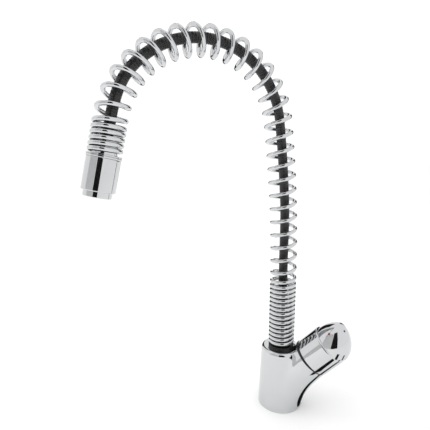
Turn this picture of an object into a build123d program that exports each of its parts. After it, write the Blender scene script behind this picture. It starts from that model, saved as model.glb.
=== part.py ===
"""Single-lever sink mixer with a tall sprung spout and a hanging spray head.

Frame, in millimetres: +Z is up, z = 0 is the deck face under the base, the column stands on the
Z axis, and the lever branch leans towards +X. The spout is drawn swivelled towards -X and -Y.
Every piece is a separate solid and is written to its own STEP file.
"""
from build123d import *
import os
from math import cos, radians, sin, sqrt

# ---------------------------------------------------------------- mixer body
BASE_RADIUS = 25.0
COLUMN_TOP_RADIUS = 22.4
COLUMN_HEIGHT = 70.0
SHOULDER_FILLET = 3.6
CREASE_FILLET = 10.0
BRANCH_RADIUS = 21.7
BRANCH_ANGLE = 40.0
BRANCH_FOOT_RADIUS = 24.3
BRANCH_FOOT_ANGLE = 12.3
BRANCH_BEND_RADIUS = 120.0
BRANCH_STRAIGHT = 14.7
SPOUT_BORE_RADIUS = 9.0
SPOUT_BORE_DEPTH = 15.0
BASE_SEAL_RADIUS = 21.0
BASE_SEAL_WIDTH = 3.0
BASE_SEAL_DEPTH = 2.0
STUD_HOLE_RADIUS = 3.4
STUD_HOLE_DEPTH = 16.0
STUD_HOLE_OFFSET = 12.0
INLET_RADIUS = 4.5
INLET_DEPTH = 14.0
INLET_X = 3.0
INLET_SPACING = 20.0
WATERWAY_RADIUS = 3.0
SCREW_SETBACK = 0.8

# ---------------------------------------------------------------- cartridge
CARTRIDGE_RADIUS = 12.5
CARTRIDGE_WALL = 1.9
HOUSING_ROOF = 2.6
HOUSING_TOP = 1.0
SHOULDER_DEPTH = 8.0
SEAL_THICKNESS = 1.2
FIXED_DISC_THICKNESS = 3.8
MOVING_DISC_THICKNESS = 2.8
MOVING_DISC_RADIUS = 7.2
CARRIER_THICKNESS = 4.6
ROTOR_FLANGE_THICKNESS = 3.4
ROTOR_NECK_RADIUS = 7.2
ROTOR_NECK_TOP = 4.5
NUT_RADIUS = 15.0
NUT_THICKNESS = 5.5
PORT_RADIUS = 2.2
PORT_OFFSET = 5.6
TIP_CLEARANCE = 1.3
POCKET_FLARE = 1.25

# ---------------------------------------------------------------- lever
LEVER_REST_TILT = 3.0
STEM_DEPTH = 6.0
STEM_WIDTH = 5.0
STEM_TIP_ARM = 7.0
STEM_TIP_RADIUS = 1.9
PIVOT_PIN_RADIUS = 1.25
HANDLE_RADIUS = 21.8
HANDLE_RIM_RADIUS = 21.1
HANDLE_SKIRT_LENGTH = 27.0
HANDLE_EDGE_FILLET = 2.0
HANDLE_CEILING = 19.5
STEM_SOCKET_DEPTH = 8.0
SET_SCREW_RADIUS = 2.0
SET_SCREW_LENGTH = 9.0
SCREW_PLUG_RADIUS = 2.9
SCREW_PLUG_THICKNESS = 2.4
COVER_RING_TOP = 13.0
COVER_RING_WALL = 1.6
COVER_RING_FLOOR = 1.5
DOME_TILT = 23.5
DOME_RISE = 2.7
DOME_INSET = 0.4
DOME_BASE_RADIUS = 20.4
DOME_SIDE_RADIUS = 33.9
DOME_FLARE_ANGLE = -10.0
DOME_SIDE_ANGLE = 60.4
DOME_CORNER_RADIUS = 9.2
DOME_FACE_ANGLE = 16.4
INDEX_DOT_RADIUS = 1.2
INDEX_DOT_DEPTH = 1.0
INDEX_PLACES = {"index_dot_hot": (-121.0, 34.0), "index_dot_cold": (-49.0, 52.0)}

# ---------------------------------------------------------------- spout column and arch
SPRING_RADIUS = 14.9
SPRING_WIRE = 4.2
SPRING_TUBE_WALL = 1.15
CLOSED_COIL_TOP = 148.0
LEAN_RADIUS = 1210.0
LEAN_ANGLE = 8.3
CROWN_RADIUS = 80.0
CROWN_ANGLE = 73.0
DROP_RADIUS = 91.5
DROP_ANGLE = 86.5
UPPER_CLOSED_LENGTH = 31.0
SPOUT_HEADING = 229.9
HOSE_RADIUS = 5.1
HOSE_BORE_RADIUS = 3.2
SLIP_WASHER_THICKNESS = 0.8
NIPPLE_FLANGE_RADIUS = 14.2
NIPPLE_FLANGE_THICKNESS = 2.2
NIPPLE_STEM_LENGTH = 35.0
NIPPLE_BORE_RADIUS = 5.0
FERRULE_RADIUS = 7.6
FERRULE_SOCKET_DEPTH = 13.0
FERRULE_LENGTH = 25.0
FERRULE_FLOOR = 2.0
O_RING_SECTION = 0.85
O_RING_GROOVE_DEPTH = 1.8
O_RING_INSET = 3.2
RETAINING_GROOVE_WIDTH = 2.6
RETAINING_SCREW_RADIUS = 2.4
RETAINING_TIP_RADIUS = 1.1

# ---------------------------------------------------------------- spray head
COLLAR_LENGTH = 3.2
COLLAR_EDGE = 0.45
COLLAR_SPIGOT_LENGTH = 12.0
SHELL_RADIUS = 14.35
SHELL_LENGTH = 28.5
SHELL_WALL = 1.5
SHELL_ROOF = 2.0
SHELL_FILLET = 0.8
TAIL_RADIUS = 5.6
TAIL_LENGTH = 8.0
CORE_BORE_RADIUS = 6.5
NOZZLE_RADIUS = 12.15
NOZZLE_PROTRUSION = 5.0
NOZZLE_LENGTH = 10.0
NOZZLE_WALL = 1.6
AERATOR_THICKNESS = 4.0
AERATOR_HOLE_RADIUS = 0.7
AERATOR_HOLE_PITCH = 3.0
AERATOR_HOLE_ROWS = 5
MESH_THICKNESS = 0.6
AERATOR_SEAL_THICKNESS = 1.2

# ---------------------------------------------------------------- fits
RUNNING = 0.05
SLIP = 0.2
BALL_GAP = 0.4
THREAD = 0.1
OVERCUT = 1.0
CUT_REACH = 100.0
KEY_SIDES = 6

BOTTOM_UP = (Align.CENTER, Align.CENTER, Align.MIN)


def disc(radius, bottom, top):
    """Round bar about Z between two heights."""
    return Pos(0, 0, bottom) * Cylinder(radius, top - bottom, align=BOTTOM_UP)


def ring(outer, inner, bottom, top):
    """Tube about Z between two heights."""
    return disc(outer, bottom, top) - disc(inner, bottom - OVERCUT, top + OVERCUT)


def turned(*points):
    """Solid of revolution about Z from its half outline, given as (radius, height)."""
    outline = Plane.XZ * Polyline(*points, close=True)
    return revolve(make_face(outline), Axis.Z)


def drilling(start, end, radius):
    """Round bar from one point to another, for drilled waterways."""
    span = Vector(*end) - Vector(*start)
    return Plane(origin=start, z_dir=span) * Cylinder(radius, span.length, align=BOTTOM_UP)


def tilted_axis(angle):
    """Unit vector in the XZ plane, at an angle in degrees from +Z towards +X."""
    return Vector(sin(radians(angle)), 0, cos(radians(angle)))


def tilted_frame(origin, angle):
    """Location whose Z is tilted_axis(angle) and whose Y stays the row's Y."""
    return Location(Plane(origin=origin, x_dir=tilted_axis(angle + 90), z_dir=tilted_axis(angle)))


# Places that several pieces share.
BRANCH_AXIS = tilted_axis(BRANCH_ANGLE)
BEND_END = Vector(
    BRANCH_BEND_RADIUS * (cos(radians(BRANCH_FOOT_ANGLE)) - cos(radians(BRANCH_ANGLE))),
    0,
    BRANCH_BEND_RADIUS * (sin(radians(BRANCH_ANGLE)) - sin(radians(BRANCH_FOOT_ANGLE))),
)
BRANCH_END = BEND_END + BRANCH_AXIS * BRANCH_STRAIGHT
PIVOT = BRANCH_END - BRANCH_AXIS * SHOULDER_DEPTH
BRANCH = tilted_frame(PIVOT, BRANCH_ANGLE)
HANDLE = tilted_frame(PIVOT, BRANCH_ANGLE + LEVER_REST_TILT)

# Heights along the cartridge axis, measured from the lever's pivot.
CARRIER_BOTTOM = -STEM_TIP_ARM - STEM_TIP_RADIUS - TIP_CLEARANCE
CARRIER_TOP = CARRIER_BOTTOM + CARRIER_THICKNESS
FIXED_DISC_TOP = CARRIER_BOTTOM - MOVING_DISC_THICKNESS
SEAL_TOP = FIXED_DISC_TOP - FIXED_DISC_THICKNESS
CARTRIDGE_FLOOR = SEAL_TOP - SEAL_THICKNESS
HOUSING_BORE = CARTRIDGE_RADIUS - CARTRIDGE_WALL
HOUSING_CEILING = HOUSING_TOP - HOUSING_ROOF
ROTOR_TOP = HOUSING_CEILING - SLIP
ROTOR_BOTTOM = ROTOR_TOP - ROTOR_FLANGE_THICKNESS
SHOULDER_BALL = sqrt(BRANCH_RADIUS ** 2 + SHOULDER_DEPTH ** 2)
HANDLE_BALL = SHOULDER_BALL + BALL_GAP
HANDLE_RIM = sqrt(HANDLE_BALL ** 2 - HANDLE_RIM_RADIUS ** 2)
HANDLE_CREASE = HANDLE_RIM + HANDLE_SKIRT_LENGTH
DOME_ROOT = DOME_RISE + 2 * HANDLE_EDGE_FILLET + HANDLE_RADIUS * sin(radians(DOME_TILT))
DOME = Pos(0, 0, HANDLE_CREASE + DOME_RISE) * Rot(0, -DOME_TILT, 0)

# Heights on the column.
WASHER_TOP = COLUMN_HEIGHT + SLIP_WASHER_THICKNESS
SPRING_BOTTOM = WASHER_TOP + NIPPLE_FLANGE_THICKNESS
NIPPLE_TOP = SPRING_BOTTOM + NIPPLE_STEM_LENGTH
FERRULE_BOTTOM = NIPPLE_TOP - FERRULE_SOCKET_DEPTH
HOSE_BOTTOM = FERRULE_BOTTOM + FERRULE_FLOOR
SPRING_INNER = SPRING_RADIUS - SPRING_WIRE
JOURNAL_RADIUS = SPOUT_BORE_RADIUS - RUNNING
BORE_FLOOR = COLUMN_HEIGHT - SPOUT_BORE_DEPTH
O_RING_HEIGHTS = (BORE_FLOOR + O_RING_INSET, COLUMN_HEIGHT - O_RING_INSET)
RETAINING_HEIGHT = (BORE_FLOOR + COLUMN_HEIGHT) / 2


def arch_path(bottom, tail):
    """Centre line of the spout in its own XZ plane: a straight column and three tangent arcs.

    bottom is the height where the line starts, and tail is the straight run after the last arc.
    """
    column = Line((0, bottom), (0, CLOSED_COIL_TOP))
    lean = JernArc(column @ 1, column % 1, LEAN_RADIUS, -LEAN_ANGLE)
    crown = JernArc(lean @ 1, lean % 1, CROWN_RADIUS, -CROWN_ANGLE)
    drop = JernArc(crown @ 1, crown % 1, DROP_RADIUS, -DROP_ANGLE)
    end = Line(drop @ 1, (drop @ 1) + (drop % 1) * tail)
    return Curve() + [column, lean, crown, drop, end]


SPOUT_PLANE = Plane(
    origin=(0, 0, 0),
    x_dir=(cos(radians(SPOUT_HEADING)), sin(radians(SPOUT_HEADING)), 0),
    z_dir=(sin(radians(SPOUT_HEADING)), -cos(radians(SPOUT_HEADING)), 0),
)
ARCH_LOCAL = arch_path(SPRING_BOTTOM, UPPER_CLOSED_LENGTH)
HEAD_LOCAL = ARCH_LOCAL.edges()[-1]
HEAD = Location(
    Plane(
        origin=SPOUT_PLANE.from_local_coords(HEAD_LOCAL @ 1),
        x_dir=SPOUT_PLANE.z_dir,
        z_dir=SPOUT_PLANE.from_local_coords(HEAD_LOCAL @ 1)
        - SPOUT_PLANE.from_local_coords(HEAD_LOCAL @ 0),
    )
)

# Distances down the spray head, measured from the spring's lower end.
SHELL_TOP = COLLAR_LENGTH
SHELL_BOTTOM = SHELL_TOP + SHELL_LENGTH
TAIL_TOP = SHELL_TOP + SLIP
CORE_TOP = SHELL_TOP + SHELL_ROOF + TAIL_LENGTH / 2
NOZZLE_BOTTOM = SHELL_BOTTOM + NOZZLE_PROTRUSION
NOZZLE_TOP = NOZZLE_BOTTOM - NOZZLE_LENGTH
CORE_BOTTOM = NOZZLE_TOP - AERATOR_SEAL_THICKNESS
SHELL_INNER = SHELL_RADIUS - SHELL_WALL


def tube_along_arch(outer, inner, bottom, tail):
    """Tube that follows the spout's centre line."""
    section = Circle(outer) - Circle(inner)
    path = SPOUT_PLANE * arch_path(bottom, tail)
    return sweep(Pos(0, 0, bottom) * section, path=path)


# ---------------------------------------------------------------- body pieces
def crease_edges(body):
    """The two edges that climb from the foot, one on each side, where the branch meets the column."""
    sides = body.edges().filter_by(lambda edge: abs(edge.center().Y) > SPRING_RADIUS)
    climbing = sides.filter_by(lambda edge: edge.bounding_box().size.Z > COLUMN_HEIGHT / 2)
    return climbing.filter_by(lambda edge: 0 < edge.center().X < COLUMN_TOP_RADIUS)


def mixer_body():
    """Cast Y: an upright column and a branch that bends out of the same foot."""
    column = turned((0, 0), (BASE_RADIUS, 0), (COLUMN_TOP_RADIUS, COLUMN_HEIGHT), (0, COLUMN_HEIGHT))
    column = fillet(column.edges().sort_by(Axis.Z)[-1], SHOULDER_FILLET)
    foot_axis = tilted_axis(BRANCH_FOOT_ANGLE)
    buried = foot_axis * -BRANCH_FOOT_RADIUS
    root = Line((buried.X, buried.Z), (0, 0))
    bend = JernArc(root @ 1, root % 1, BRANCH_BEND_RADIUS, BRANCH_FOOT_ANGLE - BRANCH_ANGLE)
    straight = Line(bend @ 1, (bend @ 1) + (bend % 1) * BRANCH_STRAIGHT)
    path = Plane.XZ * (Curve() + [root, bend, straight])
    foot = tilted_frame(buried, BRANCH_FOOT_ANGLE) * Circle(BRANCH_FOOT_RADIUS)
    mouth = BRANCH * Pos(0, 0, SHOULDER_DEPTH) * Circle(BRANCH_RADIUS)
    branch = sweep([foot, mouth], path=path, multisection=True)
    body = column + (branch - disc(CUT_REACH, -CUT_REACH, 0))
    body = fillet(crease_edges(body), CREASE_FILLET)
    body -= disc(SPRING_RADIUS + BALL_GAP, COLUMN_HEIGHT, CLOSED_COIL_TOP)
    body -= disc(SPOUT_BORE_RADIUS, BORE_FLOOR, COLUMN_HEIGHT + OVERCUT)
    body -= BRANCH * disc(CARTRIDGE_RADIUS + THREAD, CARTRIDGE_FLOOR, SHOULDER_DEPTH + OVERCUT)
    body -= BRANCH * disc(NUT_RADIUS + THREAD, HOUSING_TOP, SHOULDER_DEPTH + OVERCUT)
    body -= ring(BASE_SEAL_RADIUS, BASE_SEAL_RADIUS - BASE_SEAL_WIDTH, -OVERCUT, BASE_SEAL_DEPTH)
    body -= Pos(-STUD_HOLE_OFFSET, 0, 0) * disc(STUD_HOLE_RADIUS, -OVERCUT, STUD_HOLE_DEPTH)
    for side in (-1, 1):
        inlet = Vector(INLET_X, side * INLET_SPACING / 2, 0)
        port = (BRANCH * Pos(0, side * PORT_OFFSET, CARTRIDGE_FLOOR)).position
        body -= Pos(inlet) * disc(INLET_RADIUS, -OVERCUT, INLET_DEPTH)
        body -= drilling(inlet + Vector(0, 0, INLET_DEPTH - WATERWAY_RADIUS), port, WATERWAY_RADIUS)
    outlet = (BRANCH * Pos(-PORT_OFFSET, 0, CARTRIDGE_FLOOR)).position
    body -= drilling(outlet, (0, 0, BORE_FLOOR + WATERWAY_RADIUS), WATERWAY_RADIUS)
    body -= Pos(0, 0, RETAINING_HEIGHT) * Rot(-90, 0, 0) * disc(RETAINING_SCREW_RADIUS, 0, BASE_RADIUS)
    return body


def base_seal_ring():
    """Flat rubber ring in the foot's groove, flush with the deck."""
    outer = BASE_SEAL_RADIUS - RUNNING
    inner = BASE_SEAL_RADIUS - BASE_SEAL_WIDTH + RUNNING
    return ring(outer, inner, 0, BASE_SEAL_DEPTH)


def spout_retaining_screw():
    """Grub screw behind the column, with a thin tip in the nipple's groove."""
    head = COLUMN_TOP_RADIUS - SCREW_SETBACK
    thread = disc(RETAINING_SCREW_RADIUS - RUNNING, SPOUT_BORE_RADIUS + SLIP, head)
    tip_end = JOURNAL_RADIUS - O_RING_GROOVE_DEPTH + SLIP
    tip = disc(RETAINING_TIP_RADIUS, tip_end, SPOUT_BORE_RADIUS + SLIP)
    socket = extrude(RegularPolygon(RETAINING_TIP_RADIUS, KEY_SIDES), RETAINING_SCREW_RADIUS)
    socket = Pos(0, 0, head - RETAINING_SCREW_RADIUS) * socket
    return Pos(0, 0, RETAINING_HEIGHT) * Rot(-90, 0, 0) * (thread + tip - socket)


# ---------------------------------------------------------------- cartridge pieces
def cartridge_seals():
    """Three rubber rings under the fixed disc, one round each port."""
    section = SEAL_THICKNESS / 2 - RUNNING / 2
    middle = (CARTRIDGE_FLOOR + SEAL_TOP) / 2
    places = [(0, PORT_OFFSET), (0, -PORT_OFFSET), (-PORT_OFFSET, 0)]
    rings = [Pos(x, y, middle) * Torus(PORT_RADIUS + section, section) for x, y in places]
    return BRANCH * Compound(children=rings)


def cartridge_housing():
    """Plastic cup that holds the discs and the rotor."""
    cup = disc(CARTRIDGE_RADIUS, CARTRIDGE_FLOOR, HOUSING_TOP)
    cup -= disc(HOUSING_BORE, CARTRIDGE_FLOOR - OVERCUT, HOUSING_CEILING)
    cup -= disc(ROTOR_NECK_RADIUS + SLIP, HOUSING_CEILING - OVERCUT, HOUSING_TOP + OVERCUT)
    return BRANCH * cup


def fixed_ceramic_disc():
    """Lower disc with two inlet ports and one outlet port."""
    plate = disc(HOUSING_BORE - RUNNING, SEAL_TOP, FIXED_DISC_TOP)
    for x, y in [(0, PORT_OFFSET), (0, -PORT_OFFSET), (-PORT_OFFSET, 0)]:
        plate -= Pos(x, y, 0) * disc(PORT_RADIUS, SEAL_TOP - OVERCUT, FIXED_DISC_TOP + OVERCUT)
    return BRANCH * plate


def tip_offset():
    """How far the stem's tip stands from the cartridge axis at rest."""
    return -STEM_TIP_ARM * sin(radians(LEVER_REST_TILT))


def moving_ceramic_disc():
    """Upper disc, with the mixing hollow in its lower face."""
    plate = disc(MOVING_DISC_RADIUS, FIXED_DISC_TOP, CARRIER_BOTTOM)
    hollow_radius = MOVING_DISC_RADIUS - CARTRIDGE_WALL
    hollow = disc(hollow_radius, FIXED_DISC_TOP - OVERCUT, FIXED_DISC_TOP + OVERCUT)
    return BRANCH * Pos(tip_offset(), 0, 0) * (plate - hollow)


def disc_carrier():
    """Plastic carrier on the moving disc, with the pocket that the stem's tip pushes."""
    pocket = STEM_TIP_RADIUS + SLIP
    mouth = Pos(0, 0, CARRIER_TOP) * Sphere(pocket * POCKET_FLARE)
    block = disc(MOVING_DISC_RADIUS, CARRIER_BOTTOM, CARRIER_TOP)
    block -= disc(pocket, -STEM_TIP_ARM - pocket, CARRIER_TOP + OVERCUT)
    return BRANCH * Pos(tip_offset(), 0, 0) * (block - mouth)


def cartridge_rotor():
    """Plastic rotor that turns in the housing and carries the pivot pin."""
    rotor = disc(HOUSING_BORE - SLIP, ROTOR_BOTTOM, ROTOR_TOP)
    rotor += disc(ROTOR_NECK_RADIUS, ROTOR_TOP, ROTOR_NECK_TOP)
    slot_length = 2 * (ROTOR_NECK_RADIUS - CARTRIDGE_WALL)
    rotor -= Box(slot_length, STEM_WIDTH + 2 * SLIP, CUT_REACH)
    pin_hole = Rot(90, 0, 0) * Cylinder(PIVOT_PIN_RADIUS + RUNNING / 2, CUT_REACH)
    return BRANCH * (rotor - pin_hole)


def pivot_pin():
    """Steel pin across the rotor's neck, on which the stem tilts."""
    length = 2 * (ROTOR_NECK_RADIUS - SCREW_SETBACK)
    return BRANCH * Rot(90, 0, 0) * Cylinder(PIVOT_PIN_RADIUS, length)


def cartridge_nut():
    """Slotted ring nut that clamps the housing in the branch."""
    nut = ring(NUT_RADIUS, ROTOR_NECK_RADIUS + 2 * BALL_GAP, HOUSING_TOP, HOUSING_TOP + NUT_THICKNESS)
    slot = Pos(0, 0, HOUSING_TOP + NUT_THICKNESS) * Box(CUT_REACH, STEM_WIDTH, NUT_THICKNESS)
    return BRANCH * (nut - slot)


def cartridge_cover_ring():
    """Ring whose ball-shaped outside follows on from the branch under the handle's rim."""
    inner_ball = SHOULDER_BALL - COVER_RING_WALL
    floor = SHOULDER_DEPTH + COVER_RING_FLOOR
    band = ring(BRANCH_RADIUS, NUT_RADIUS - COVER_RING_WALL, SHOULDER_DEPTH, COVER_RING_TOP)
    hollow = Sphere(inner_ball) & disc(NUT_RADIUS * 2, floor, COVER_RING_TOP)
    spigot_bottom = HOUSING_TOP + NUT_THICKNESS + SLIP
    spigot = ring(NUT_RADIUS, NUT_RADIUS - COVER_RING_WALL, spigot_bottom, SHOULDER_DEPTH)
    return BRANCH * ((band & Sphere(SHOULDER_BALL)) - hollow + spigot)


# ---------------------------------------------------------------- lever pieces
def lever_stem():
    """Steel stem: a square shank above the pivot and a ball tip below it."""
    top = HANDLE_CEILING + STEM_SOCKET_DEPTH - SLIP
    neck_radius = STEM_TIP_RADIUS - 2 * SLIP
    foot = ROTOR_BOTTOM / 2
    shank = Pos(0, 0, foot) * Box(STEM_DEPTH, STEM_WIDTH, top - foot, align=BOTTOM_UP)
    ball = Pos(0, 0, -STEM_TIP_ARM) * Sphere(STEM_TIP_RADIUS)
    stem = shank + disc(neck_radius, -STEM_TIP_ARM, 0) + ball
    stem -= Rot(90, 0, 0) * Cylinder(PIVOT_PIN_RADIUS + RUNNING, STEM_WIDTH * 2)
    return HANDLE * stem


def dome_outline():
    """Half outline of the bulb on the handle's end: three tangent arcs from the crease to the axis."""
    flare = (sin(radians(DOME_FLARE_ANGLE)), cos(radians(DOME_FLARE_ANGLE)))
    side = JernArc((DOME_BASE_RADIUS, 0), flare, DOME_SIDE_RADIUS, DOME_FLARE_ANGLE + DOME_SIDE_ANGLE)
    corner = JernArc(side @ 1, side % 1, DOME_CORNER_RADIUS, 90 - DOME_SIDE_ANGLE - DOME_FACE_ANGLE)
    face_radius = (corner @ 1).X / sin(radians(DOME_FACE_ANGLE))
    face = JernArc(corner @ 1, corner % 1, face_radius, DOME_FACE_ANGLE)
    axis = Line(face @ 1, (0, -DOME_ROOT))
    floor = Line(axis @ 1, (DOME_BASE_RADIUS, -DOME_ROOT))
    wall = Line(floor @ 1, side @ 0)
    return [side, corner, face, axis, floor, wall]


def dome():
    """Bulb on the end of the handle, about its own leaning axis, kept inside the skirt's round."""
    bulb = DOME * revolve(make_face(Plane.XZ * (Curve() + dome_outline())), Axis.Z)
    return bulb & disc(HANDLE_RADIUS - DOME_INSET, HANDLE_RIM, HANDLE_CREASE + CUT_REACH)


def screw_axis():
    """Location of the set screw's hole: square to the handle, on its underside, Z outwards."""
    return Pos(0, 0, HANDLE_CEILING + SCREW_PLUG_RADIUS) * Rot(0, 90, 0)


def index_pocket(turn, rise, radius, depth):
    """Round bar through the bulb's skin, square to its side arc, at one turn and rise in degrees."""
    flare = radians(DOME_FLARE_ANGLE)
    centre = Pos(DOME_BASE_RADIUS - DOME_SIDE_RADIUS * cos(flare), 0, DOME_SIDE_RADIUS * sin(flare))
    bar = disc(radius, DOME_SIDE_RADIUS - depth, DOME_SIDE_RADIUS + OVERCUT)
    return DOME * Rot(0, 0, turn) * centre * Rot(0, 90 - rise, 0) * bar


def handle_cap():
    """Grip: a short cylinder over the branch's end with a bulb on top, in one casting."""
    skirt = disc(HANDLE_RADIUS, HANDLE_RIM, HANDLE_CREASE)
    skirt = fillet(skirt.edges().sort_by(Axis.Z)[-1], HANDLE_EDGE_FILLET)
    grip = skirt + dome()
    ball = Sphere(HANDLE_BALL) & disc(HANDLE_RADIUS * 2, -HANDLE_RADIUS, HANDLE_CEILING)
    grip -= ball
    socket_sides = (STEM_DEPTH + 2 * RUNNING, STEM_WIDTH + 2 * RUNNING)
    socket = Box(*socket_sides, STEM_SOCKET_DEPTH + OVERCUT, align=BOTTOM_UP)
    grip -= Pos(0, 0, HANDLE_CEILING - OVERCUT) * socket
    grip -= screw_axis() * disc(SET_SCREW_RADIUS, 0, HANDLE_RADIUS)
    plug_floor = HANDLE_RADIUS - SCREW_PLUG_THICKNESS
    grip -= screw_axis() * disc(SCREW_PLUG_RADIUS, plug_floor, HANDLE_RADIUS * 2)
    for turn, rise in INDEX_PLACES.values():
        grip -= index_pocket(turn, rise, INDEX_DOT_RADIUS, INDEX_DOT_DEPTH)
    return HANDLE * grip


def handle_set_screw():
    """Grub screw that clamps the stem in its socket."""
    start = STEM_DEPTH / 2 + RUNNING
    screw = disc(SET_SCREW_RADIUS - RUNNING, start, start + SET_SCREW_LENGTH)
    socket = extrude(RegularPolygon(SET_SCREW_RADIUS / 2, KEY_SIDES), SET_SCREW_RADIUS)
    return HANDLE * screw_axis() * (screw - Pos(0, 0, start + SET_SCREW_LENGTH - SET_SCREW_RADIUS) * socket)


def screw_cover_plug():
    """Round plug that closes the set screw's hole, trimmed to the grip's cylinder."""
    plug = disc(SCREW_PLUG_RADIUS - RUNNING, HANDLE_RADIUS - SCREW_PLUG_THICKNESS, HANDLE_RADIUS * 2)
    return HANDLE * ((screw_axis() * plug) & disc(HANDLE_RADIUS + SLIP, HANDLE_RIM, HANDLE_CREASE))


def index_dot(turn, rise):
    """Enamel dot in the bulb's skin, flush with it."""
    bar = index_pocket(turn, rise, INDEX_DOT_RADIUS - RUNNING / 2, INDEX_DOT_DEPTH)
    return HANDLE * (bar & dome())


# ---------------------------------------------------------------- spout pieces
def spout_slip_washer():
    """Low-friction washer between the column's top and the nipple's flange."""
    return ring(NIPPLE_FLANGE_RADIUS, SPOUT_BORE_RADIUS + SLIP, COLUMN_HEIGHT, WASHER_TOP)


def spout_nipple():
    """Turned journal, flange and hollow stem that the spring and the hose stand on."""
    nipple = disc(JOURNAL_RADIUS, BORE_FLOOR + SLIP, WASHER_TOP)
    nipple += disc(NIPPLE_FLANGE_RADIUS, WASHER_TOP, SPRING_BOTTOM)
    nipple += disc(SPRING_INNER - RUNNING, SPRING_BOTTOM, NIPPLE_TOP)
    groove_floor = JOURNAL_RADIUS - O_RING_GROOVE_DEPTH
    for height in O_RING_HEIGHTS:
        half = O_RING_SECTION + RUNNING
        nipple -= ring(SPOUT_BORE_RADIUS + OVERCUT, groove_floor, height - half, height + half)
    half = RETAINING_GROOVE_WIDTH / 2
    groove = ring(SPOUT_BORE_RADIUS + OVERCUT, groove_floor, -half, half)
    nipple -= Pos(0, 0, RETAINING_HEIGHT) * groove
    nipple -= disc(NIPPLE_BORE_RADIUS, BORE_FLOOR, NIPPLE_TOP)
    nipple -= disc(FERRULE_RADIUS, FERRULE_BOTTOM, NIPPLE_TOP + OVERCUT)
    return nipple


def spout_o_rings():
    """Two rubber rings in the nipple's grooves."""
    section = O_RING_SECTION
    centre = JOURNAL_RADIUS - section
    return Compound(children=[Pos(0, 0, height) * Torus(centre, section) for height in O_RING_HEIGHTS])


def lower_hose_ferrule():
    """Crimped sleeve on the hose's lower end, seated in the nipple."""
    sleeve = disc(FERRULE_RADIUS - RUNNING, FERRULE_BOTTOM, FERRULE_BOTTOM + FERRULE_LENGTH)
    sleeve -= disc(HOSE_BORE_RADIUS, FERRULE_BOTTOM - OVERCUT, HOSE_BOTTOM + OVERCUT)
    return sleeve - disc(HOSE_RADIUS + RUNNING, HOSE_BOTTOM, NIPPLE_TOP + FERRULE_LENGTH)


def spray_hose():
    """Hose inside the spring, from the lower ferrule to the upper one."""
    return tube_along_arch(HOSE_RADIUS, HOSE_BORE_RADIUS, HOSE_BOTTOM, UPPER_CLOSED_LENGTH)


def main_spring():
    """Envelope of the spring's coils: a tube along the arch, as heavy as the coiled wire."""
    inner = SPRING_RADIUS - SPRING_TUBE_WALL
    return tube_along_arch(SPRING_RADIUS, inner, SPRING_BOTTOM, UPPER_CLOSED_LENGTH)


# ---------------------------------------------------------------- spray head pieces
def spring_end_collar():
    """Collar between the spring and the shell, with a spigot inside the last coils."""
    inset = SPRING_RADIUS - COLLAR_EDGE
    middle = COLLAR_LENGTH / 2
    groove = COLLAR_EDGE / 2
    lower_bead = [(0, 0), (inset, 0), (SPRING_RADIUS, COLLAR_EDGE), (SPRING_RADIUS, middle - groove)]
    upper_bead = [(SPRING_RADIUS, COLLAR_LENGTH - y) for x, y in reversed(lower_bead[2:])]
    top = [(inset, COLLAR_LENGTH), (0, COLLAR_LENGTH)]
    collar = turned(*lower_bead, (inset, middle), *upper_bead, *top)
    collar += disc(SPRING_INNER - RUNNING, -COLLAR_SPIGOT_LENGTH, 0)
    collar -= disc(FERRULE_RADIUS, -COLLAR_SPIGOT_LENGTH - OVERCUT, COLLAR_LENGTH + OVERCUT)
    return HEAD * collar


def upper_hose_ferrule():
    """Crimped sleeve on the hose's upper end, with a threaded tail into the shell."""
    sleeve = disc(FERRULE_RADIUS - RUNNING, -COLLAR_SPIGOT_LENGTH, SHELL_TOP)
    sleeve += disc(TAIL_RADIUS, SHELL_TOP, TAIL_TOP + TAIL_LENGTH)
    sleeve -= disc(HOSE_RADIUS + RUNNING, -COLLAR_SPIGOT_LENGTH - OVERCUT, 0)
    return HEAD * (sleeve - disc(HOSE_BORE_RADIUS, -OVERCUT, TAIL_TOP + TAIL_LENGTH + OVERCUT))


def spray_shell():
    """Thin chromed cup that hides the spray head's works."""
    shell = disc(SHELL_RADIUS, SHELL_TOP, SHELL_BOTTOM)
    shell = fillet(shell.edges().filter_by(GeomType.CIRCLE), SHELL_FILLET)
    roof = SHELL_TOP + SHELL_ROOF
    shell -= disc(SHELL_INNER, roof, SHELL_BOTTOM + OVERCUT)
    return HEAD * (shell - disc(TAIL_RADIUS + RUNNING, SHELL_TOP - OVERCUT, roof + OVERCUT))


def spray_core():
    """Plastic waterway screwed on the ferrule's tail inside the shell."""
    core = disc(SHELL_INNER - SLIP, CORE_TOP, CORE_BOTTOM)
    tail_end = TAIL_TOP + TAIL_LENGTH
    core -= disc(TAIL_RADIUS + RUNNING, CORE_TOP - OVERCUT, tail_end + SLIP)
    core -= disc(CORE_BORE_RADIUS, tail_end + 2 * OVERCUT, CORE_BOTTOM + OVERCUT)
    return HEAD * (core - disc(HOSE_BORE_RADIUS, CORE_TOP, CORE_BOTTOM))


def aerator_seal():
    """Flat rubber ring between the core and the nozzle ring."""
    return HEAD * ring(NOZZLE_RADIUS, NOZZLE_RADIUS - 2 * NOZZLE_WALL, CORE_BOTTOM, NOZZLE_TOP)


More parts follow.
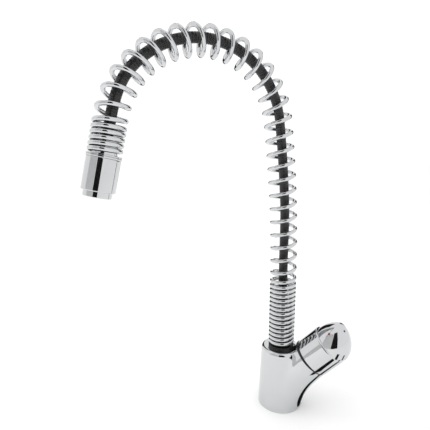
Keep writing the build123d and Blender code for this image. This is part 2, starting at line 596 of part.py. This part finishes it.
def nozzle_ring():
    """Chromed ring at the mouth, with a small inward lip that holds the aerator."""
    inner = NOZZLE_RADIUS - NOZZLE_WALL
    nozzle = disc(NOZZLE_RADIUS, NOZZLE_TOP, NOZZLE_BOTTOM)
    nozzle = chamfer(nozzle.edges().filter_by(GeomType.CIRCLE), SHELL_FILLET / 2)
    nozzle += disc(SHELL_INNER - THREAD, NOZZLE_TOP, SHELL_BOTTOM - SHELL_WALL)
    nozzle -= disc(inner, NOZZLE_TOP - OVERCUT, NOZZLE_BOTTOM - OVERCUT)
    return HEAD * (nozzle - disc(inner - NOZZLE_WALL / 2, NOZZLE_TOP, NOZZLE_BOTTOM + OVERCUT))


def aerator_insert():
    """Perforated plastic disc behind the nozzle's lip."""
    top = NOZZLE_BOTTOM - OVERCUT - AERATOR_THICKNESS
    plate = disc(NOZZLE_RADIUS - NOZZLE_WALL - RUNNING, top, NOZZLE_BOTTOM - OVERCUT)
    hole = disc(AERATOR_HOLE_RADIUS, top - OVERCUT, NOZZLE_BOTTOM)
    grid = HexLocations(AERATOR_HOLE_PITCH / 2, AERATOR_HOLE_ROWS, AERATOR_HOLE_ROWS)
    inside = [place for place in grid if place.position.length < NOZZLE_RADIUS - 2 * NOZZLE_WALL]
    return HEAD * (plate - [Pos(place.position) * hole for place in inside])


def aerator_mesh():
    """Fine filter screen on the aerator, as a plain thin disc."""
    bottom = NOZZLE_BOTTOM - OVERCUT - AERATOR_THICKNESS
    return HEAD * disc(NOZZLE_RADIUS - NOZZLE_WALL - RUNNING, bottom - MESH_THICKNESS, bottom)


PIECES = (
    mixer_body,
    base_seal_ring,
    spout_retaining_screw,
    cartridge_seals,
    cartridge_housing,
    fixed_ceramic_disc,
    moving_ceramic_disc,
    disc_carrier,
    cartridge_rotor,
    pivot_pin,
    cartridge_nut,
    cartridge_cover_ring,
    lever_stem,
    handle_cap,
    handle_set_screw,
    screw_cover_plug,
    spout_slip_washer,
    spout_nipple,
    spout_o_rings,
    lower_hose_ferrule,
    spray_hose,
    main_spring,
    spring_end_collar,
    upper_hose_ferrule,
    spray_shell,
    spray_core,
    aerator_seal,
    nozzle_ring,
    aerator_insert,
    aerator_mesh,
)

os.makedirs("parts", exist_ok=True)
for piece in PIECES:
    export_step(piece(), f"parts/{piece.__name__}.step")
for name, place in INDEX_PLACES.items():
    export_step(index_dot(*place), f"parts/{name}.step")
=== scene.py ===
"""Visual model of a single-lever sink mixer with a tall sprung spout and a hanging spray head.

Everything is in metres in the part's own frame: +Z is up, z = 0 is the deck face, the column stands
on the Z axis and the lever branch leans towards +X. Sizes in the classes are in millimetres.
"""

import logging
import math
from dataclasses import dataclass
from enum import Enum

import bpy
from mathutils import Matrix, Vector


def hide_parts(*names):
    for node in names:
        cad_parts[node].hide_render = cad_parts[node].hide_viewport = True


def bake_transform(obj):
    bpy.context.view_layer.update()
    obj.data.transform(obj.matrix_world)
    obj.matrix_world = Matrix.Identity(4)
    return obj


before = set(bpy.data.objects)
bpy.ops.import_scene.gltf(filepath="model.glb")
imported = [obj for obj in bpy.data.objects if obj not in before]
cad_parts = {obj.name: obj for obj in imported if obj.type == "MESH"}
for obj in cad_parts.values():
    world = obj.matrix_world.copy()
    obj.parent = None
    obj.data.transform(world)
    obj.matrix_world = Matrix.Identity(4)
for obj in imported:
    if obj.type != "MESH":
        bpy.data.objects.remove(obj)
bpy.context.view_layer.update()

MM = 0.001
UP = Vector((0, 0, 1))
SMOOTH_ANGLE = 35.0
log = logging.getLogger("sprung_mixer")


# ---------------------------------------------------------------- shared helpers
def linear(hex_code: str) -> tuple[float, float, float, float]:
    """Turn an sRGB hex colour into the linear RGBA that Blender's sockets take.

    Args:
        hex_code: Colour as #RRGGBB.

    Returns:
        Red, green, blue and an alpha of one.
    """
    channels = [int(hex_code[at : at + 2], 16) / 255 for at in (1, 3, 5)]
    red, green, blue = [
        value / 12.92 if value <= 0.04045 else ((value + 0.055) / 1.055) ** 2.4 for value in channels
    ]
    return red, green, blue, 1.0


def add_node(
    tree: bpy.types.NodeTree,
    kind: str,
    settings: dict | None = None,
    links: dict | None = None,
) -> bpy.types.Node:
    """Add one shader node with its settings and its incoming links.

    Args:
        tree: Node tree of the material.
        kind: Node type name.
        settings: Values for input sockets, by name or number, or for the node's own properties.
        links: Output sockets of other nodes, by the input socket that they feed.

    Returns:
        The new node.
    """
    node = tree.nodes.new(kind)
    values = settings or {}
    on_sockets = [key for key in values if isinstance(key, int) or key in node.inputs.keys()]
    for key in values:
        if key not in on_sockets:
            setattr(node, key, values[key])
    for key in on_sockets:
        node.inputs[key].default_value = values[key]
    for key, socket in (links or {}).items():
        tree.links.new(socket, node.inputs[key])
    return node


def clear_selection() -> None:
    """Deselect every object, so that the next operator acts on its own piece only."""
    bpy.ops.object.select_all(action="DESELECT")


def settle(piece: bpy.types.Object, name: str) -> bpy.types.Object:
    """Name a finished piece, put its place into its mesh and smooth its shading.

    Args:
        piece: The object that was just modelled.
        name: The piece's name in the table.

    Returns:
        The same object, at the origin, unturned and unscaled.
    """
    piece.name = name
    piece.data.name = name
    clear_selection()
    piece.select_set(True)
    bpy.context.view_layer.objects.active = piece
    bpy.ops.object.transform_apply(location=True, rotation=True, scale=True)
    bpy.ops.object.shade_smooth_by_angle(angle=math.radians(SMOOTH_ANGLE))
    piece.select_set(False)
    return piece


def dress(piece: bpy.types.Object, material: bpy.types.Material) -> None:
    """Give a piece one material in its first and only slot."""
    piece.data.materials.clear()
    piece.data.materials.append(material)


# ---------------------------------------------------------------- finishes
@dataclass(frozen=True)
class Finish:
    """What every finish shares: its name, two close colours, its roughness, metal and refraction.

    Lengths in every finish are in millimetres. A metal keeps the shader's own refraction.
    """

    name: str
    colour: str
    second_colour: str
    roughness: float
    metallic: float = 0.0
    ior: float | None = None

    def make(self) -> bpy.types.Material:
        """Build the material from its nodes.

        Returns:
            The new material.
        """
        material = bpy.data.materials.new(self.name)
        material.use_nodes = True
        tree = material.node_tree
        tree.nodes.clear()
        shader = add_node(tree, "ShaderNodeBsdfPrincipled", {"Metallic": self.metallic})
        if self.ior is not None:
            shader.inputs["IOR"].default_value = self.ior
        add_node(tree, "ShaderNodeOutputMaterial", links={"Surface": shader.outputs["BSDF"]})
        self.lay(tree, shader)
        return material

    def lay(self, tree: bpy.types.NodeTree, shader: bpy.types.Node) -> None:
        """Link the finish's own pattern to the shader.

        Args:
            tree: Node tree of the material.
            shader: The principled shader.
        """
        raise NotImplementedError

    def mottle(self, tree: bpy.types.NodeTree, shader: bpy.types.Node, grain: float) -> bpy.types.Node:
        """Vary the colour between the two close tones.

        Args:
            tree: Node tree of the material.
            shader: The principled shader.
            grain: Size of one patch, in millimetres.

        Returns:
            The texture coordinate node, for further patterns.
        """
        place = add_node(tree, "ShaderNodeTexCoord")
        cloud = add_node(
            tree,
            "ShaderNodeTexNoise",
            {"Scale": 1 / (grain * MM), "Detail": 3.0},
            {"Vector": place.outputs["Object"]},
        )
        tones = add_node(
            tree,
            "ShaderNodeMix",
            {"data_type": "RGBA", 6: linear(self.colour), 7: linear(self.second_colour)},
            {0: cloud.outputs["Fac"]},
        )
        tree.links.new(tones.outputs[2], shader.inputs["Base Color"])
        return place


@dataclass(frozen=True)
class PolishedPlate(Finish):
    """Bright plate over polished metal: a clear mirror with a faint haze and hairline wipe marks.

    Painted shade: the base colour turns black where the gap to the next surface is narrower than the
    shade gap width, and a width of zero paints no shade.
    """

    haze: float = 0.03
    haze_patch: float = 14.0
    haze_span: tuple[float, float] = (0.35, 0.7)
    wipe_spacing: float = 0.5
    wipe_length: float = 22.0
    wipe_height: float = 0.0006
    # Painted shade: these four fields blacken the base colour where a narrow gap lies next to the
    # surface.
    shade_gap_width: float = 0.0
    shade_gap_span: tuple[float, float] = (0.3, 0.62)
    shade_gap_samples: int = 8
    painted_shade_colour: str = "#0B0B0B"

    def lay(self, tree: bpy.types.NodeTree, shader: bpy.types.Node) -> None:
        """Lay the haze on the roughness, the wipe marks on the bump and painted shade, black, in
        narrow gaps.

        Args:
            tree: Node tree of the material.
            shader: The principled shader.
        """
        place = self.mottle(tree, shader, self.haze_patch)
        if self.shade_gap_width:
            self.paint_crevice_shade(tree, shader)
        haze = add_node(
            tree,
            "ShaderNodeTexNoise",
            {"Scale": 1 / (self.haze_patch * MM), "Detail": 4.0},
            {"Vector": place.outputs["Object"]},
        )
        sheen = add_node(
            tree,
            "ShaderNodeMapRange",
            {
                "From Min": self.haze_span[0],
                "From Max": self.haze_span[1],
                "To Min": self.roughness,
                "To Max": self.roughness + self.haze,
            },
            {"Value": haze.outputs["Fac"]},
        )
        tree.links.new(sheen.outputs["Result"], shader.inputs["Roughness"])
        across, along = 1 / (self.wipe_spacing * MM), 1 / (self.wipe_length * MM)
        stretch = add_node(
            tree,
            "ShaderNodeMapping",
            {"Scale": (across, across, along)},
            {"Vector": place.outputs["Object"]},
        )
        hairs = add_node(
            tree,
            "ShaderNodeTexNoise",
            {"Scale": 1.0, "Detail": 2.0},
            {"Vector": stretch.outputs["Vector"]},
        )
        bump = add_node(
            tree,
            "ShaderNodeBump",
            {"Strength": 1.0, "Distance": self.wipe_height * MM},
            {"Height": hairs.outputs["Fac"]},
        )
        tree.links.new(bump.outputs["Normal"], shader.inputs["Normal"])

    def paint_crevice_shade(self, tree: bpy.types.NodeTree, shader: bpy.types.Node) -> None:
        """Paint shade into the base colour: black where the gap to the next surface is narrower than
        the shade gap width.

        Args:
            tree: Node tree of the material.
            shader: The principled shader, with its colour already linked.
        """
        tones = shader.inputs["Base Color"].links[0].from_socket
        gap = add_node(
            tree,
            "ShaderNodeAmbientOcclusion",
            {"samples": self.shade_gap_samples, "Distance": self.shade_gap_width * MM},
        )
        shade_share = add_node(
            tree,
            "ShaderNodeMapRange",
            {
                "From Min": self.shade_gap_span[0],
                "From Max": self.shade_gap_span[1],
                "To Min": 1.0,
                "To Max": 0.0,
            },
            {"Value": gap.outputs["AO"]},
        )
        # Painted shade: the base colour is mixed towards black in narrow gaps.
        painted_shade_mix = add_node(
            tree,
            "ShaderNodeMix",
            {"data_type": "RGBA", 7: linear(self.painted_shade_colour)},
            {0: shade_share.outputs["Result"], 6: tones},
        )
        tree.links.new(painted_shade_mix.outputs[2], shader.inputs["Base Color"])


@dataclass(frozen=True)
class FineGrain(Finish):
    """A matt or satin skin with a fine even grain, as on mouldings, rubber and turned metal."""

    patch: float = 6.0
    grain_size: float = 0.25
    grain_height: float = 0.01
    uneven: float = 0.12

    def lay(self, tree: bpy.types.NodeTree, shader: bpy.types.Node) -> None:
        """Lay the grain on the bump and an uneven sheen on the roughness.

        Args:
            tree: Node tree of the material.
            shader: The principled shader.
        """
        place = self.mottle(tree, shader, self.patch)
        grain = add_node(
            tree,
            "ShaderNodeTexNoise",
            {"Scale": 1 / (self.grain_size * MM), "Detail": 2.0},
            {"Vector": place.outputs["Object"]},
        )
        sheen = add_node(
            tree,
            "ShaderNodeMapRange",
            {"To Min": self.roughness, "To Max": self.roughness + self.uneven},
            {"Value": grain.outputs["Fac"]},
        )
        tree.links.new(sheen.outputs["Result"], shader.inputs["Roughness"])
        bump = add_node(
            tree,
            "ShaderNodeBump",
            {"Strength": 1.0, "Distance": self.grain_height * MM},
            {"Height": grain.outputs["Fac"]},
        )
        tree.links.new(bump.outputs["Normal"], shader.inputs["Normal"])


@dataclass(frozen=True)
class WovenScreen(Finish):
    """Stainless filter screen: bright wires over dark openings on a square grid.

    The wave length is what the wave texture draws at a scale of one, in metres. The pitch is coarser
    than real filter cloth, so that the wires show.
    """

    pitch: float = 0.8
    wave_length: float = 0.314
    wire_height: float = 0.1

    def lay(self, tree: bpy.types.NodeTree, shader: bpy.types.Node) -> None:
        """Cross two sets of bands for the wires and drop what lies between them to dark.

        Args:
            tree: Node tree of the material.
            shader: The principled shader.
        """
        place = add_node(tree, "ShaderNodeTexCoord")
        bands = [
            add_node(
                tree,
                "ShaderNodeTexWave",
                {
                    "bands_direction": direction,
                    "Scale": self.wave_length / (self.pitch * MM),
                    "Distortion": 0.0,
                },
                {"Vector": place.outputs["Object"]},
            )
            for direction in ("X", "Y")
        ]
        crossed = add_node(
            tree,
            "ShaderNodeMath",
            {"operation": "MAXIMUM"},
            {0: bands[0].outputs["Fac"], 1: bands[1].outputs["Fac"]},
        )
        tones = add_node(
            tree,
            "ShaderNodeMix",
            {"data_type": "RGBA", 6: linear(self.second_colour), 7: linear(self.colour)},
            {0: crossed.outputs["Value"]},
        )
        tree.links.new(tones.outputs[2], shader.inputs["Base Color"])
        shader.inputs["Roughness"].default_value = self.roughness
        bump = add_node(
            tree,
            "ShaderNodeBump",
            {"Strength": 1.0, "Distance": self.wire_height * MM},
            {"Height": crossed.outputs["Value"]},
        )
        tree.links.new(bump.outputs["Normal"], shader.inputs["Normal"])


class Coat(Enum):
    """The finishes of the mixer's pieces, each as its maker would order it."""

    # Chrome plate on polished brass: a clear mirror, a little greyer than what it mirrors.
    CHROME = PolishedPlate("chrome_plate", "#CFD0D1", "#C9CBCC", 0.03, metallic=1.0)
    # Chrome plate on drawn spring wire: the same mirror, a touch hazier, and painted shade, black,
    # between the coils.
    WIRE_CHROME = PolishedPlate(
        "chromed_spring_wire",
        "#CFD0D1",
        "#C6C8CA",
        0.06,
        metallic=1.0,
        haze_patch=9.0,
        shade_gap_width=3.0,
    )
    # Chrome plate on moulded plastic: bright, with deeper wipe marks.
    CHROMED_PLASTIC = PolishedPlate(
        "chromed_plastic",
        "#CFD0D1",
        "#C8CACB",
        0.05,
        metallic=1.0,
        wipe_height=0.001,
    )
    # Extruded rubber: near black, satin, with a fine bloom.
    HOSE_RUBBER = FineGrain("extruded_rubber", "#111113", "#1A1A1C", 0.3, ior=1.52, patch=3.0)
    # Moulded nitrile: matt black.
    SEAL_RUBBER = FineGrain("moulded_nitrile", "#161616", "#1F1F20", 0.55, ior=1.52)
    # Acetal moulding: milky white, soft gloss.
    ACETAL = FineGrain("acetal_moulding", "#E9E7E1", "#E3E0D8", 0.35, ior=1.48)
    # Acetal moulding in black; on the cover ring and the slip washer this black is painted shade, of
    # the groove round the handle and of the gap under the spring.
    BLACK_ACETAL_AND_SHADE = FineGrain("black_acetal_and_painted_shade", "#1C1C1D", "#232324", 0.35, ior=1.48)
    # Turned brass: warm yellow, satin.
    BRASS = FineGrain("turned_brass", "#D9B46A", "#CFA75A", 0.22, metallic=1.0, grain_height=0.004)
    # Brass painted matt black as shade: it stands for the shade under the spring's bottom coil, as
    # dark as the gap between the coils.
    SHADE_BLACK_BRASS = FineGrain(
        "blackened_brass",
        "#0C0C0C",
        "#121212",
        0.45,
        ior=1.5,
        grain_height=0.004,
    )
    # Machined stainless steel: cool grey, satin.
    STEEL = FineGrain("machined_steel", "#BDBDBB", "#B4B4B3", 0.25, metallic=1.0, grain_height=0.004)
    # Sintered and lapped ceramic: off-white with a fine gloss.
    CERAMIC = FineGrain("lapped_ceramic", "#F2EFE8", "#ECE8DF", 0.15, ior=1.7, grain_height=0.002)
    # Stainless filter cloth: bright wires and dark openings.
    SCREEN = WovenScreen("filter_screen", "#B9BABB", "#2A2A2B", 0.35, metallic=1.0)
    # Enamel filled into the two index pockets: dark and glossy.
    RED_ENAMEL = FineGrain("red_enamel", "#7A2226", "#6C1C20", 0.2, ior=1.5, grain_height=0.003)
    BLUE_ENAMEL = FineGrain("blue_enamel", "#26386E", "#203061", 0.2, ior=1.5, grain_height=0.003)


class Finishes:
    """Makes each finish once and hands it to every piece that wears it."""

    def __init__(self) -> None:
        """Start with no finish made."""
        self.made: dict[Coat, bpy.types.Material] = {}

    def get(self, coat: Coat) -> bpy.types.Material:
        """Fetch the material of a coat, and make it the first time.

        Args:
            coat: The coat that a piece wears.

        Returns:
            Its material.
        """
        if coat not in self.made:
            self.made[coat] = coat.value.make()
        return self.made[coat]


# ---------------------------------------------------------------- pieces that keep their CAD shape
@dataclass(frozen=True)
class CarriedPieces:
    """A sub-assembly whose pieces keep their exact shape and only get their finish."""

    title: str
    coats: dict[str, Coat]

    def dress_all(self, finishes: Finishes) -> None:
        """Dress every piece of the sub-assembly.

        Args:
            finishes: The store of finishes.
        """
        for name, coat in self.coats.items():
            dress(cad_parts[name], finishes.get(coat))
            log.info("%s: %s in %s", self.title, name, coat.value.name)


# ---------------------------------------------------------------- spout
@dataclass(frozen=True)
class Arch:
    """The spout's centre line in one upright plane: a straight column and three tangent arcs.

    The heading is the plane's direction in degrees from +X. Each arc has its radius and the degrees
    that it turns, and the line runs on straight after the last.
    """

    heading: float = 229.9
    column_top: float = 148.0
    arcs: tuple[tuple[float, float], ...] = ((1210.0, 8.3), (80.0, 73.0), (91.5, 86.5))

    def ahead(self) -> Vector:
        """Return the level direction from the column towards the spray head."""
        return Vector((math.cos(math.radians(self.heading)), math.sin(math.radians(self.heading)), 0))

    def at(self, distance: float) -> tuple[Vector, Vector, Vector]:
        """Find the place at a distance along the line from the deck.

        Args:
            distance: Millimetres from the deck, along the line.

        Returns:
            The point on the line, the direction across the line towards the spray head's side, and
            the direction out of the spout's plane, in metres.
        """
        out, height, lean = 0.0, min(distance, self.column_top), 0.0
        left = distance - height
        for radius, degrees in self.arcs:
            turn = min(math.radians(degrees), max(left, 0.0) / radius)
            out += radius * (math.cos(lean) - math.cos(lean + turn))
            height += radius * (math.sin(lean + turn) - math.sin(lean))
            lean += turn
            left -= radius * math.radians(degrees)
        if left > 0:
            out += left * math.sin(lean)
            height += left * math.cos(lean)
        ahead = self.ahead()
        centre = (ahead * out + UP * height) * MM
        inward = ahead * math.cos(lean) - UP * math.sin(lean)
        return centre, inward, UP.cross(ahead)


@dataclass(frozen=True)
class MainSpring:
    """The round-wire spring that makes the spout, close coiled at both ends.

    Each coil mark pairs a number of turns, counted from the first open coil, with how far along the
    spout's line the wire is there. The easing is how many turns each way a change of pitch takes.
    """

    arch: Arch
    mean_radius: float = 12.8
    wire_radius: float = 2.1
    steps_per_turn: int = 36
    wire_detail: int = 4
    coil_marks: tuple[tuple[float, float], ...] = (
        (-15.30, 75.1),
        (-1.853, 143.8),
        (-0.853, 149.5),
        (0.148, 160.3),
        (5.149, 234.0),
        (10.15, 307.4),
        (14.158, 370.0),
        (17.25, 419.2),
        (20.25, 464.2),
        (23.25, 509.5),
        (26.25, 553.6),
        (27.274, 566.8),
        (32.37, 591.2),
        (32.87, 592.2),
    )
    easing: float = 0.35
    easing_steps: int = 8

    def distance(self, turns: float) -> float:
        """Find how far along the spout the wire is after a number of turns.

        Args:
            turns: Turns of the wire, counted from the first open coil.

        Returns:
            Millimetres along the spout's line, eased where the pitch changes.
        """
        total = 0.0
        for step in range(self.easing_steps + 1):
            at = turns + self.easing * (2 * step / self.easing_steps - 1)
            at = max(self.coil_marks[0][0], min(self.coil_marks[-1][0], at))
            for (start, low), (end, high) in zip(self.coil_marks, self.coil_marks[1:]):
                if at <= end:
                    total += low + (high - low) * (at - start) / (end - start)
                    break
        return total / (self.easing_steps + 1)

    def wire_line(self) -> list[Vector]:
        """Wind the wire's centre line from the body to the spray head.

        Returns:
            Its points, in metres.
        """
        first, last = self.coil_marks[0][0], self.coil_marks[-1][0]
        count = int((last - first) * self.steps_per_turn)
        points = []
        for step in range(count + 1):
            turns = first + (last - first) * step / count
            centre, inward, side = self.arch.at(self.distance(turns))
            angle = 2 * math.pi * turns
            across = inward * math.cos(angle) + side * math.sin(angle)
            points.append(centre + across * self.mean_radius * MM)
        return points

    def build(self, finishes: Finishes) -> bpy.types.Object:
        """Sweep the wire and hang it between the spout's two bodies.

        Args:
            finishes: The store of finishes.

        Returns:
            The spring.
        """
        piece = swept_tube(self.wire_line(), self.wire_radius, self.wire_detail)
        settle(piece, "coiled_spring")
        dress(piece, finishes.get(Coat.WIRE_CHROME))
        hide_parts("main_spring")
        bend_with_spout(piece)
        return piece


def swept_tube(points: list[Vector], radius: float, detail: int) -> bpy.types.Object:
    """Sweep a round section along points and turn the result into a closed mesh.

    Args:
        points: Centre points in metres, close enough together to be smooth.
        radius: Section radius in millimetres.
        detail: Bevel resolution of the section: it gets four sides and twice this more.

    Returns:
        The tube as a mesh object.
    """
    clear_selection()
    bpy.ops.curve.primitive_nurbs_path_add(location=(0, 0, 0))
    path = bpy.context.active_object
    path.data.splines.clear()
    spline = path.data.splines.new("POLY")
    spline.points.add(len(points) - 1)
    for point, place in zip(spline.points, points):
        point.co = (*place, 1.0)
    path.data.bevel_depth = radius * MM
    path.data.bevel_resolution = detail
    path.data.use_fill_caps = True
    path.data.twist_mode = "MINIMUM"
    bpy.ops.object.convert(target="MESH")
    return bpy.context.active_object


def bend_with_spout(piece: bpy.types.Object) -> None:
    """Put a long piece's place into its mesh, so that it stands at the origin, unturned and unscaled.

    Args:
        piece: The long piece.
    """
    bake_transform(piece)


@dataclass(frozen=True)
class SprayHose:
    """The ribbed rubber hose inside the spring, resting on the outer side of the coils.

    It leaves the spring's axis over the first stretch of the spout and comes back to it over the
    second, both given as distances along the spout's line.
    """

    arch: Arch
    radius: float = 5.1
    start: float = 97.0
    end: float = 594.0
    rib_pitch: float = 2.4
    rib_height: float = 0.22
    steps_per_rib: int = 4
    detail: int = 5
    lean_out: float = 2.3
    lean_from: tuple[float, float] = (165.0, 240.0)
    lean_to: tuple[float, float] = (520.0, 562.0)

    def offset(self, distance: float) -> float:
        """Find how far the hose lies from the spring's axis.

        Args:
            distance: Millimetres from the deck, along the line.

        Returns:
            Millimetres towards the outer side of the bend.
        """
        rise = (distance - self.lean_from[0]) / (self.lean_from[1] - self.lean_from[0])
        fall = (self.lean_to[1] - distance) / (self.lean_to[1] - self.lean_to[0])
        share = max(0.0, min(1.0, rise, fall))
        return self.lean_out * share * share * (3 - 2 * share)

    def build(self, finishes: Finishes) -> bpy.types.Object:
        """Sweep the hose and press its ribs.

        Args:
            finishes: The store of finishes.

        Returns:
            The hose.
        """
        count = int((self.end - self.start) / self.rib_pitch) * self.steps_per_rib
        points = []
        for step in range(count + 1):
            distance = self.start + (self.end - self.start) * step / count
            centre, inward, _ = self.arch.at(distance)
            points.append(centre - inward * self.offset(distance) * MM)
        piece = swept_tube(points, self.radius, self.detail)
        per_ring = 4 + 2 * self.detail
        for index, vertex in enumerate(piece.data.vertices):
            ring = min(index // per_ring, count)
            phase = (ring % self.steps_per_rib) / self.steps_per_rib
            groove = 0.5 - 0.5 * math.cos(2 * math.pi * phase)
            narrowed = 1 - groove * self.rib_height / self.radius
            vertex.co = points[ring] + (vertex.co - points[ring]) * narrowed
        settle(piece, "ribbed_hose")
        dress(piece, finishes.get(Coat.HOSE_RUBBER))
        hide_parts("spray_hose")
        bend_with_spout(piece)
        return piece


# ---------------------------------------------------------------- studio
@dataclass(frozen=True)
class Card:
    """A flat black or grey card that only the plate mirrors, hung around the mixer.

    The azimuth is counted from the camera's side, positive to its right, and the lean from upright
    (0) to lying on the floor (90). Sizes are in millimetres.
    """

    name: str
    azimuth: float
    reach: float
    width: float
    tall: float
    height: float
    lean: float = 0.0
    shade: str = "#050505"


@dataclass(frozen=True)
class Studio:
    """A white floor and surround, a soft box, cards for the plate to mirror, and the camera.

    The focal share is the lens's focal length as a share of the sensor's width. Lengths are in
    millimetres, a surround of strength one is plain white, and the soft box's power is in watts.
    """

    eye: tuple[float, float, float] = (89.1, -389.4, 287.0)
    gaze: tuple[float, float, float] = (-0.40155, 0.90177, -0.15988)
    focal_share: float = 361 / 430
    sensor: float = 36.0
    nearest: float = 10.0
    floor_side: float = 40000.0
    surround_strength: float = 1.06
    soft_box_place: tuple[float, float, float] = (-900.0, -600.0, 1600.0)
    soft_box_side: float = 1600.0
    soft_box_power: float = 8.0
    middle: tuple[float, float, float] = (0.0, 0.0, 200.0)
    cards: tuple[Card, ...] = (
        Card("card_behind_camera", 6.0, 2500.0, 1500.0, 4600.0, 2300.0),
        Card("card_grey_left", -38.0, 2600.0, 2500.0, 4000.0, 2000.0, shade="#D2D2D2"),
        Card("card_far_left", -152.0, 1800.0, 900.0, 2200.0, 1100.0),
        Card("card_far_right", 152.0, 1800.0, 900.0, 2200.0, 1100.0),
        Card("card_under_branch", 77.0, 85.0, 16.0, 140.0, 2.0, 90.0),
        Card("card_before_branch", 46.0, 152.0, 27.0, 160.0, 2.0, 90.0),
    )

    def set_camera(self) -> None:
        """Place the camera at the viewing angle."""
        data = bpy.data.cameras.new("camera")
        data.sensor_width = self.sensor
        data.lens = self.focal_share * self.sensor
        data.clip_start = self.nearest * MM
        camera = bpy.data.objects.new("camera", data)
        bpy.context.scene.collection.objects.link(camera)
        ahead = Vector(self.gaze).normalized()
        right = ahead.cross(UP).normalized()
        up = right.cross(ahead)
        turn = Matrix((right, up, -ahead)).transposed().to_4x4()
        camera.matrix_world = Matrix.Translation(Vector(self.eye) * MM) @ turn
        bpy.context.scene.camera = camera

    def lay_floor(self) -> None:
        """Lay the white floor under the deck face."""
        clear_selection()
        bpy.ops.mesh.primitive_plane_add(size=self.floor_side * MM, location=(0, 0, 0))
        floor = settle(bpy.context.active_object, "studio_floor")
        paper = FineGrain(
            "studio_paper",
            "#FDFDFD",
            "#FBFBFB",
            0.8,
            ior=1.3,
            patch=400.0,
            grain_size=2.0,
        )
        dress(floor, paper.make())

    def set_world(self) -> None:
        """Light everything with an even white surround."""
        world = bpy.data.worlds.new("white_surround")
        world.use_nodes = True
        tree = world.node_tree
        tree.nodes.clear()
        white = add_node(
            tree,
            "ShaderNodeBackground",
            {"Color": linear("#FFFFFF"), "Strength": self.surround_strength},
        )
        add_node(tree, "ShaderNodeOutputWorld", links={"Surface": white.outputs["Background"]})
        bpy.context.scene.world = world

    def hang_card(self, card: Card) -> None:
        """Hang one card, facing the mixer or, lying, facing up.

        Args:
            card: Where it hangs and how large it is.
        """
        middle = Vector(self.middle)
        eye = Vector(self.eye)
        towards = Vector((eye.x - middle.x, eye.y - middle.y, 0)).normalized()
        towards.rotate(Matrix.Rotation(math.radians(card.azimuth), 3, "Z"))
        clear_selection()
        bpy.ops.mesh.primitive_plane_add(size=1.0)
        sheet = bpy.context.active_object
        lean = math.radians(card.lean)
        facing = UP * math.sin(lean) - towards * math.cos(lean)
        right = UP.cross(towards)
        turn = Matrix((right, facing.cross(right), facing)).transposed()
        sheet.scale = (card.width * MM, card.tall * MM, 1)
        sheet.rotation_mode = "QUATERNION"
        sheet.rotation_quaternion = turn.to_quaternion()
        centre = middle + towards * card.reach
        centre.z = card.height
        sheet.location = centre * MM
        settle(sheet, card.name)
        flock = FineGrain(f"{card.name}_flock", card.shade, card.shade, 0.9, ior=1.45)
        dress(sheet, flock.make())
        sheet.visible_camera = False
        sheet.visible_diffuse = False
        sheet.visible_shadow = False
        sheet.visible_transmission = False

    def set_soft_box(self) -> None:
        """Set the soft box that lights matt surfaces and is not mirrored."""
        place = Vector(self.soft_box_place) * MM
        data = bpy.data.lights.new("key_soft_box", "AREA")
        data.shape = "SQUARE"
        data.size = self.soft_box_side * MM
        data.energy = self.soft_box_power
        lamp = bpy.data.objects.new("key_soft_box", data)
        lamp.rotation_mode = "QUATERNION"
        lamp.rotation_quaternion = (place - Vector(self.middle) * MM).to_track_quat("Z", "Y")
        lamp.location = place
        lamp.visible_glossy = False
        bpy.context.scene.collection.objects.link(lamp)

    def build(self) -> None:
        """Set up the whole studio."""
        self.set_world()
        self.lay_floor()
        self.set_camera()
        bpy.context.scene.view_settings.view_transform = "Standard"
        self.set_soft_box()
        for card in self.cards:
            self.hang_card(card)


CARRIED = (
    CarriedPieces(
        "mixer body",
        {
            "mixer_body": Coat.CHROME,
            "base_seal_ring": Coat.SEAL_RUBBER,
            "spout_retaining_screw": Coat.STEEL,
            # The cover ring is black as painted shade of the groove round the handle skirt.
            "cartridge_cover_ring": Coat.BLACK_ACETAL_AND_SHADE,
        },
    ),
    CarriedPieces(
        "cartridge",
        {
            "cartridge_seals": Coat.SEAL_RUBBER,
            "cartridge_housing": Coat.ACETAL,
            "fixed_ceramic_disc": Coat.CERAMIC,
            "moving_ceramic_disc": Coat.CERAMIC,
            "disc_carrier": Coat.BLACK_ACETAL_AND_SHADE,
            "cartridge_rotor": Coat.BLACK_ACETAL_AND_SHADE,
            "pivot_pin": Coat.STEEL,
            "cartridge_nut": Coat.BRASS,
        },
    ),
    CarriedPieces(
        "lever",
        {
            "lever_stem": Coat.STEEL,
            "handle_cap": Coat.CHROME,
            "handle_set_screw": Coat.STEEL,
            "screw_cover_plug": Coat.CHROMED_PLASTIC,
            "index_dot_hot": Coat.RED_ENAMEL,
            "index_dot_cold": Coat.BLUE_ENAMEL,
        },
    ),
    CarriedPieces(
        "spout foot",
        {
            # The slip washer and the nipple are black as painted shade under the spring's bottom coil.
            "spout_slip_washer": Coat.BLACK_ACETAL_AND_SHADE,
            "spout_nipple": Coat.SHADE_BLACK_BRASS,
            "spout_o_rings": Coat.SEAL_RUBBER,
            "lower_hose_ferrule": Coat.STEEL,
        },
    ),
    CarriedPieces(
        "spray head",
        {
            "spring_end_collar": Coat.CHROME,
            "upper_hose_ferrule": Coat.STEEL,
            "spray_shell": Coat.CHROME,
            "spray_core": Coat.ACETAL,
            "aerator_seal": Coat.SEAL_RUBBER,
            "nozzle_ring": Coat.CHROME,
            "aerator_insert": Coat.ACETAL,
            "aerator_mesh": Coat.SCREEN,
        },
    ),
)


def main() -> None:
    """Dress the carried pieces, build the new ones and set up the studio."""
    logging.basicConfig(level=logging.INFO, format="%(message)s")
    finishes = Finishes()
    for group in CARRIED:
        group.dress_all(finishes)
    arch = Arch()
    for maker in (MainSpring(arch), SprayHose(arch)):
        piece = maker.build(finishes)
        log.info("spout: %s, %d faces", piece.name, len(piece.data.polygons))
    Studio().build()


if __name__ == "__main__":
    main()
